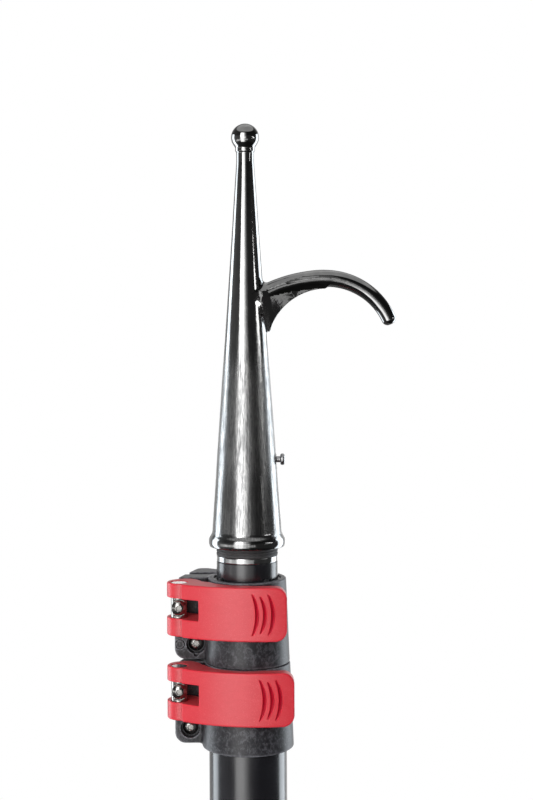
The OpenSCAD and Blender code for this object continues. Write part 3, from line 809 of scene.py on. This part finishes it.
def plug_material():
    """Black polyethylene with a spark-eroded texture and a scuffed foot."""
    s = Surface("polyethylene_black", 0.0, 0.55)
    pits = s.cells(0.6)
    cloud = s.grain(2.5, (1, 1, 1), 4)
    base = s.ramp(cloud, (0.3, (0.014, 0.014, 0.015)), (0.7, (0.030, 0.030, 0.032)))
    s.set("Base Color", base)
    s.set("Roughness", s.ramp(cloud, (0.3, 0.48), (0.7, 0.66)))
    s.relief(pits, 0.04, 0.5)
    return s.material


def gasket_material():
    """Black rubber with a dusty bloom."""
    s = Surface("rubber_black", 0.0, 0.62)
    bloom = s.grain(0.8, (1, 1, 1), 4)
    s.set("Base Color", s.ramp(bloom, (0.3, (0.020, 0.020, 0.021)), (0.7, (0.048, 0.047, 0.048))))
    s.set("Roughness", s.ramp(bloom, (0.3, 0.5), (0.7, 0.72)))
    s.relief(s.grain(0.25), 0.02, 0.6)
    return s.material


def head_material():
    """Stainless steel: brushed up the cone, polished bright on the hook, the ball and the lip."""
    s = Surface("steel_polished", 1.0, 0.12)
    brush = s.grain(0.25, (1, 1, 120), 4)
    streak = s.grain(0.9, (1, 1, 32), 3, 0.3)
    cloud = s.grain(5, (1, 1, 3), 3)
    polish = s.marked("polish")
    lines = s.blend(0.5, brush, streak)
    brushed = s.ramp(lines, (0.38, (0.13, 0.13, 0.13)), (0.5, (0.28, 0.28, 0.28)),
                     (0.62, (0.46, 0.46, 0.45)))
    cast = s.ramp(cloud, (0.3, (0.26, 0.26, 0.26)), (0.7, (0.35, 0.35, 0.345)))
    s.set("Base Color", s.blend(polish, brushed, cast))
    satin = s.marked("satin")
    matt = s.blend(satin, s.ramp(lines, (0.36, 0.26), (0.64, 0.15)),
                   s.ramp(lines, (0.36, 0.36), (0.64, 0.26)))
    bright = s.ramp(cloud, (0.3, 0.05), (0.7, 0.09))
    s.set("Roughness", s.blend(polish, matt, bright))
    s.relief(s.blend(polish, streak, (0.5, 0.5, 0.5)), 0.03)
    s.relief(s.blend(polish, brush, (0.5, 0.5, 0.5)), 0.004)
    s.relief(s.grain(5, (1, 1, 1), 3), 0.09, 0.6)
    return s.material


def adapter_material():
    """Bright turned steel with fine rings from the tool."""
    s = Surface("steel_turned", 1.0, 0.16)
    rings = s.grain(0.12, (4000, 4000, 1), 3)
    cloud = s.grain(3)
    s.set("Base Color", s.ramp(cloud, (0.3, (0.34, 0.34, 0.34)), (0.7, (0.46, 0.46, 0.46))))
    s.set("Roughness", s.ramp(s.blend(0.5, rings, cloud), (0.3, 0.10), (0.7, 0.22)))
    s.relief(rings, 0.003)
    return s.material


def button_material():
    """Dull steel, rubbed by the fingers and the socket's edge."""
    s = Surface("steel_dull", 1.0, 0.32)
    scratch = s.grain(0.25, (30, 1, 1), 4)
    cloud = s.grain(1.5, (1, 1, 1), 3)
    s.set("Base Color", s.ramp(cloud, (0.3, (0.34, 0.34, 0.35)), (0.7, (0.48, 0.48, 0.48))))
    s.set("Roughness", s.ramp(scratch, (0.3, 0.24), (0.7, 0.42)))
    s.relief(scratch, 0.004, 0.8)
    return s.material


def fastener_material():
    """Stainless fasteners with a tumbled finish."""
    s = Surface("steel_tumbled", 1.0, 0.2)
    cloud = s.grain(0.9, (1, 1, 1), 4)
    nicks = s.cells(0.5)
    s.set("Base Color", s.ramp(cloud, (0.3, (0.26, 0.25, 0.24)), (0.7, (0.42, 0.41, 0.39))))
    s.set("Roughness", s.ramp(cloud, (0.3, 0.12), (0.7, 0.24)))
    s.relief(nicks, 0.004, 0.6)
    return s.material


MATERIALS = {
    "tube": tube_material(),
    "clamp_plastic": clamp_material(),
    "lever_plastic": lever_material(),
    "sleeve_plastic": sleeve_material(),
    "bush_plastic": bush_material(),
    "plug_plastic": plug_material(),
    "gasket_rubber": gasket_material(),
    "head_steel": head_material(),
    "adapter_steel": adapter_material(),
    "button_steel": button_material(),
    "fastener_steel": fastener_material(),
}

# ---------------------------------------------------------------- the pieces

record = frame["record"]
NODE_BODY = {node: body for body, nodes in record["behaviour"]["bodies"].items() for node in nodes}
NODE_SLOT = {part["node"]: part["material_slot"] for part in record["subparts"]}


def stands_for(piece, node):
    """The piece takes the place of a CAD node, with its body, slot and material."""
    piece.data.materials.append(MATERIALS[NODE_SLOT[node]])
    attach(piece, NODE_BODY[node])
    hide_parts(node)
    return piece


def moulded(node, field, step):
    """Replaces a CAD node with the solid of a field, in the same box."""
    low, high = box_mm(node)
    return stands_for(solid(f"{node}_shape", field, low, high, step), node)


BRUSH_TOP, BRUSH_FADE = HEAD_Z + 88, 30.0     # the polish takes over from the brushed zone
POLISH_RISE = 2.5    # how far off the cone the polish is full
SATIN_MID, SATIN_HALF, SATIN_FADE = HEAD_Z + 62, 18.0, 16.0     # the dullest band of that zone
SHADE_TOP, SHADE_RUN, SHADE_DEEP = 0.1, 0.3, 0.5    # depths over which the painted shade of a grip groove, a darker red, comes in


def points_mm(piece):
    co = np.zeros(len(piece.data.vertices) * 3)
    piece.data.vertices.foreach_get("co", co)
    return co.reshape(-1, 3) / MM


def make_head():
    head = moulded("hook_head", head_field, 0.62)
    points = points_mm(head)
    from_cone = radius(points) - cone_radius(points[:, 2])
    above = (points[:, 2] - BRUSH_TOP) / BRUSH_FADE
    mark(head, "polish", np.clip(np.maximum(from_cone / POLISH_RISE, above), 0, 1))
    from_satin = np.abs(points[:, 2] - SATIN_MID) - SATIN_HALF
    mark(head, "satin", np.clip(1 - from_satin / SATIN_FADE, 0, 1))


def make_clamp(side, fixed_high, sliding_high, base_r):
    clamp = Clamp(side, fixed_high, sliding_high, base_r)
    sleeve = Sleeve(side, sliding_high)
    moulded(f"{side}_clamp_body", lambda p: clamp_field(clamp, p), 0.42)
    lever = moulded(f"{side}_lever", lambda p: lever_field(clamp, p), 0.32)
    points = points_mm(lever)
    front_r, from_front = lever_front(clamp, points)
    below = front_r - from_front
    # Mask of the painted shade in the grip grooves: points on a groove's walls and floor, by its depth.
    groove_shade = np.clip((below - SHADE_TOP) / SHADE_RUN, 0, 1) * (below < GRIP_DEEP + SHADE_RUN)
    mark(lever, "grip", groove_shade * np.clip(grip_depth(clamp, points) / SHADE_DEEP, 0, 1))
    moulded(f"{side}_clamp_sleeve", lambda p: sleeve_field(sleeve, p), 0.45)
    moulded(f"{side}_pivot_barrel", lambda p: barrel_field(clamp, p), 0.28)
    for kind in ("tension", "fixing"):
        low, high = box_mm(f"{side}_{kind}_screw")
        axis = (low + high)[[0, 2]] / 2
        moulded(f"{side}_{kind}_screw", lambda p: screw_field(axis, low[1], high[1], p), 0.17)
        low_nut, high_nut = box_mm(f"{side}_{kind}_nut")
        flats = high_nut[2] - low_nut[2]
        moulded(f"{side}_{kind}_nut", lambda p: nut_field(axis, low_nut[1], high_nut[1], flats, p), 0.22)


PLUG_WALL, BUSH_WALL, BUSH_FLANGE_H = 2.6, 2.4, 14
PLUG_CENTRE = 0.05   # a pinhole that keeps the plug's middle faces four-sided
NECK_DROP = 0.1      # the outer tube's neck starts this far below its clamp


def make_tube(node, low, high):
    bore = high[0] - WALL
    outline = [(bore, low[2]), (high[0], low[2]), (high[0], high[2]), (bore, high[2])]
    stands_for(turned(f"{node}_shape", outline, [0.3] * 4), node)


def make_outer_tube():
    bore, r = OUTER_HIGH[0] - WALL, OUTER_HIGH[0]
    neck_z = box_mm("lower_clamp_body")[0][2] - NECK_DROP
    outline = [(bore, OUTER_LOW[2]), (r, OUTER_LOW[2]), (r, neck_z), (r - NECK["lower"], neck_z),
               (r - NECK["lower"], OUTER_HIGH[2]), (bore, OUTER_HIGH[2])]
    stands_for(turned("outer_tube_shape", outline, [0.3, 0.5, 0.1, 0.1, 0.3, 0.3]), "outer_tube")


def make_plug():
    low, high = box_mm("butt_plug")
    rim_r, spigot_r = high[0], OUTER_HIGH[0] - WALL - SEAT
    flange_top = OUTER_LOW[2]
    bore = spigot_r + SEAT - PLUG_WALL
    outline = [(PLUG_CENTRE, low[2]), (rim_r, low[2]), (rim_r, flange_top), (spigot_r, flange_top),
               (spigot_r, high[2]), (bore, high[2]), (bore, flange_top), (PLUG_CENTRE, flange_top)]
    stands_for(turned("butt_plug_shape", outline, [0, 1.4, 0.3, 0.2, 0.8, 0.4, 1.5, 0]), "butt_plug")


def make_bush(node, spigot_r):
    low, high = box_mm(node)
    flange_r, bore = high[0], spigot_r - BUSH_WALL
    flange_top = low[2] + BUSH_FLANGE_H
    spigot_r = spigot_r - SLIDE
    outline = [(bore, low[2]), (flange_r, low[2]), (flange_r, flange_top), (spigot_r, flange_top),
               (spigot_r, high[2]), (bore, high[2])]
    stands_for(turned(f"{node}_shape", outline, [0.4, 0.8, 0.5, 0.2, 0.6, 0.4]), node)


UPPER_BASE_R, LOWER_BASE_R = 20.6, 22.4     # of a clamp body at its foot
SPRING_WIRE_R, SPRING_TURNS = 0.32, 8
SPRING_STEPS, SPRING_SIDES = 24, 10      # rings in a turn, and corners in a ring


def make_spring():
    """A coil along X that fills the spring's box."""
    low, high = box_mm("button_spring")
    mid, length = (low + high) / 2, high[0] - low[0]
    coil_r = (high[2] - low[2]) / 2 - SPRING_WIRE_R
    count = SPRING_STEPS * SPRING_TURNS + 1
    t = np.linspace(0, 1, count)[:, None]
    a = 2 * np.pi * SPRING_TURNS * t
    b = np.linspace(0, 2 * np.pi, SPRING_SIDES, endpoint=False)[None, :]
    r = coil_r + SPRING_WIRE_R * np.cos(b)
    x = low[0] + SPRING_WIRE_R + (length - 2 * SPRING_WIRE_R) * t + SPRING_WIRE_R * np.sin(b)
    points = np.stack([x, mid[1] + r * np.cos(a), mid[2] + r * np.sin(a)], -1).reshape(-1, 3)
    faces = [tuple(reversed(range(SPRING_SIDES)))]
    faces.append(tuple(range((count - 1) * SPRING_SIDES, count * SPRING_SIDES)))
    for i in range(count - 1):
        for j in range(SPRING_SIDES):
            k = (j + 1) % SPRING_SIDES
            start, end = i * SPRING_SIDES, (i + 1) * SPRING_SIDES
            faces.append((start + j, start + k, end + k, end + j))
    mesh = bpy.data.meshes.new("button_spring_coil")
    mesh.from_pydata((points * MM).tolist(), [], faces)
    mesh.polygons.foreach_set("use_smooth", [True] * len(mesh.polygons))
    coil = bpy.data.objects.new("button_spring_coil", mesh)
    bpy.context.scene.collection.objects.link(coil)
    stands_for(coil, "button_spring")
    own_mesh(coil)


make_head()
make_clamp("upper", MIDDLE_HIGH, INNER_HIGH, UPPER_BASE_R)
make_clamp("lower", OUTER_HIGH, MIDDLE_HIGH, LOWER_BASE_R)
make_outer_tube()
make_tube("middle_tube", MIDDLE_LOW, MIDDLE_HIGH)
make_tube("inner_tube", INNER_LOW, INNER_HIGH)
make_plug()
make_bush("middle_guide_bush", MIDDLE_HIGH[0] - WALL)
make_bush("inner_guide_bush", INNER_HIGH[0] - WALL)
moulded("head_adapter", adapter_field, 0.4)
moulded("head_gasket", gasket_field, 0.3)
moulded("lock_button", button_field, 0.25)
make_spring()

# ---------------------------------------------------------------- camera

# The photograph's viewing angle: a level camera on the levers' side, at the height of the hook's
# throat. The shift frames what lies below and to the right of the camera's axis.
CAMERA_DISTANCE = 0.735
CAMERA_RISE = 0.208          # above the lower clamp's foot
LENS_MM, FILM_MM = 67.5, 36.0
SHIFT_RIGHT, SHIFT_UP = 0.0257, -0.1
ROLL = math.radians(-0.30)

camera_z = box_mm("lower_clamp_body")[0][2] * MM + CAMERA_RISE
camera = bpy.data.objects.new("camera", bpy.data.cameras.new("camera"))
camera.data.lens = LENS_MM
camera.data.sensor_fit = "VERTICAL"
camera.data.sensor_height = FILM_MM
camera.data.shift_x, camera.data.shift_y = SHIFT_RIGHT, SHIFT_UP
camera.data.clip_start, camera.data.clip_end = 0.01, 20
camera.matrix_world = (
    Matrix.Translation((0, -CAMERA_DISTANCE, camera_z))
    @ Matrix.Rotation(math.radians(90), 4, "X")
    @ Matrix.Rotation(ROLL, 4, "Z")
)
bpy.context.scene.collection.objects.link(camera)
bpy.context.scene.camera = camera

# ---------------------------------------------------------------- floor and light

FLOOR_R, FLOOR_SIDES = 0.75, 96

floor_mesh = bpy.data.meshes.new("floor")
turns = np.linspace(0, 2 * np.pi, FLOOR_SIDES, endpoint=False)
floor_mesh.from_pydata([(FLOOR_R * math.cos(t), FLOOR_R * math.sin(t), 0.0) for t in turns], [],
                       [tuple(range(FLOOR_SIDES))])
floor = bpy.data.objects.new("floor", floor_mesh)
bpy.context.scene.collection.objects.link(floor)
floor_surface = Surface("floor_paper", 0.0, 0.85)
fibres = floor_surface.grain(1.5, (1, 1, 1), 4)
paper = floor_surface.ramp(fibres, (0.3, (0.80, 0.80, 0.80)), (0.7, (0.84, 0.84, 0.84)))
floor_surface.set("Base Color", paper)
floor_mesh.materials.append(floor_surface.material)
floor.visible_glossy = False


def softbox(name, turn, distance, low_z, high_z, width, radiance, colour=(1, 1, 1)):
    """A flat light that faces the pole. Turn is in degrees round the pole from the camera, + right."""
    light = bpy.data.lights.new(name, "AREA")
    light.shape = "RECTANGLE"
    light.size, light.size_y = width, high_z - low_z
    light.energy = radiance * math.pi * width * (high_z - low_z)
    light.color = colour
    obj = bpy.data.objects.new(name, light)
    a = math.radians(turn)
    place = Vector((math.sin(a) * distance, -math.cos(a) * distance, (low_z + high_z) / 2))
    obj.matrix_world = (Matrix.Translation(place) @ Matrix.Rotation(a, 4, "Z")
                        @ Matrix.Rotation(math.radians(90), 4, "X"))
    obj.visible_camera = False
    bpy.context.scene.collection.objects.link(obj)
    return obj


def strip(name, start, end, thick=0.065, radiance=4.5, distance=1.0):
    """A thin light from one (turn, height) to another, as a flat panel that leans."""
    turn, z = (start[0] + end[0]) / 2, (start[1] + end[1]) / 2
    run = 2 * distance * math.tan(math.radians(end[0] - start[0]) / 2)
    rise = end[1] - start[1]
    light = softbox(name, turn, distance, z - thick / 2, z + thick / 2, math.hypot(run, rise), radiance)
    light.matrix_world = light.matrix_world @ Matrix.Rotation(math.atan2(rise, run), 4, "Z")
    return light


COOL = (0.87, 0.94, 1.0)

softbox("key_edge", -8, 1.16, 0.0, 1.8, 0.8, 0.18)
softbox("key_wide", -19, 1.15, 0.0, 1.8, 0.92, 0.45)
softbox("key_middle", -21, 1.14, 0.05, 1.75, 0.74, 1.0)
softbox("key_core", -24, 1.13, 0.1, 1.7, 0.5, 1.4)
softbox("key_high", -24, 1.12, 0.93, 1.7, 0.5, 2.0)
softbox("key_fill", -24, 1.16, 0.05, 1.75, 0.8, 1.3).visible_glossy = False
softbox("key_low", -9, 1.11, 0.78, 1.0, 0.66, 0.8).visible_diffuse = False
softbox("card_left", -54, 1.05, 0.44, 0.68, 0.62, 0.8)
softbox("card_far", -74, 1.05, 0.44, 0.68, 0.5, 0.6)
softbox("card_right", 12, 1.05, 0.44, 0.68, 0.45, 0.6)
softbox("backdrop", 180, 1.5, 0.4, 1.03, 0.9, 1.3)
softbox("side_left", -113, 1.1, 0.0, 1.3, 0.5, 4.0, COOL)
softbox("side_right", 120, 1.1, 0.0, 1.3, 0.6, 4.0, COOL)
strip("strip_high", (60, 1.04), (81, 0.905))
strip("strip_low", (55, 0.785), (80, 0.89), thick=0.04, radiance=1.2)

# The dark studio around them, by direction: degrees round the pole, and sine of the height.
AROUND = [(-180, 0.6), (-145, 0.6), (-128, 0.3), (-97, 0.2), (-60, 0.13), (-20, 0.1), (10, 0.06),
          (30, 0.04), (95, 0.05), (134, 0.25), (148, 0.9), (160, 1.1), (175, 0.7), (180, 0.6)]
UP = [(-1.0, 0.3), (-0.7, 0.3), (-0.35, 1.0), (0.18, 1.0), (0.26, 0.4), (1.0, 0.3)]
OVERHEAD = [(-1.0, 0.0), (0.66, 0.0), (0.74, 0.6), (1.0, 0.6)]

world = bpy.data.worlds.new("studio")
bpy.context.scene.world = world
world.use_nodes = True
nodes, links = world.node_tree.nodes, world.node_tree.links
nodes.clear()


def world_math(kind, a, b, c=0.0):
    node = nodes.new("ShaderNodeMath")
    node.operation = kind
    for socket, value in enumerate((a, b, c)):
        if isinstance(value, (int, float)):
            node.inputs[socket].default_value = value
        else:
            links.new(value, node.inputs[socket])
    return node.outputs[0]


def world_ramp(value, stops, low, high):
    """Brightness at places from low to high."""
    node = nodes.new("ShaderNodeValToRGB")
    ramp = node.color_ramp
    ramp.interpolation = "EASE"
    while len(ramp.elements) < len(stops):
        ramp.elements.new(0.5)
    for element, (at, level) in zip(ramp.elements, stops):
        element.position = (at - low) / (high - low)
        element.color = (level, level, level, 1)
    links.new(value, node.inputs["Fac"])
    return node.outputs["Color"]


direction = nodes.new("ShaderNodeSeparateXYZ")
links.new(nodes.new("ShaderNodeTexCoord").outputs["Generated"], direction.inputs[0])
x, y, z = direction.outputs
turn = world_math("ARCTAN2", x, world_math("MULTIPLY", y, -1.0))
turn = world_math("MULTIPLY_ADD", turn, 0.5 / math.pi, 0.5)
height = world_math("MULTIPLY_ADD", z, 0.5, 0.5)
level = world_math("MULTIPLY_ADD", world_ramp(turn, AROUND, -180, 180), world_ramp(height, UP, -1, 1),
                   world_ramp(height, OVERHEAD, -1, 1))
studio = nodes.new("ShaderNodeBackground")
links.new(level, studio.inputs["Color"])
paper = nodes.new("ShaderNodeBackground")
paper.inputs["Color"].default_value = (1, 1, 1, 1)
shown = nodes.new("ShaderNodeMixShader")
links.new(nodes.new("ShaderNodeLightPath").outputs["Is Camera Ray"], shown.inputs["Fac"])
links.new(studio.outputs[0], shown.inputs[1])
links.new(paper.outputs[0], shown.inputs[2])
links.new(shown.outputs[0], nodes.new("ShaderNodeOutputWorld").inputs["Surface"])

bpy.context.scene.view_settings.view_transform = "Standard"
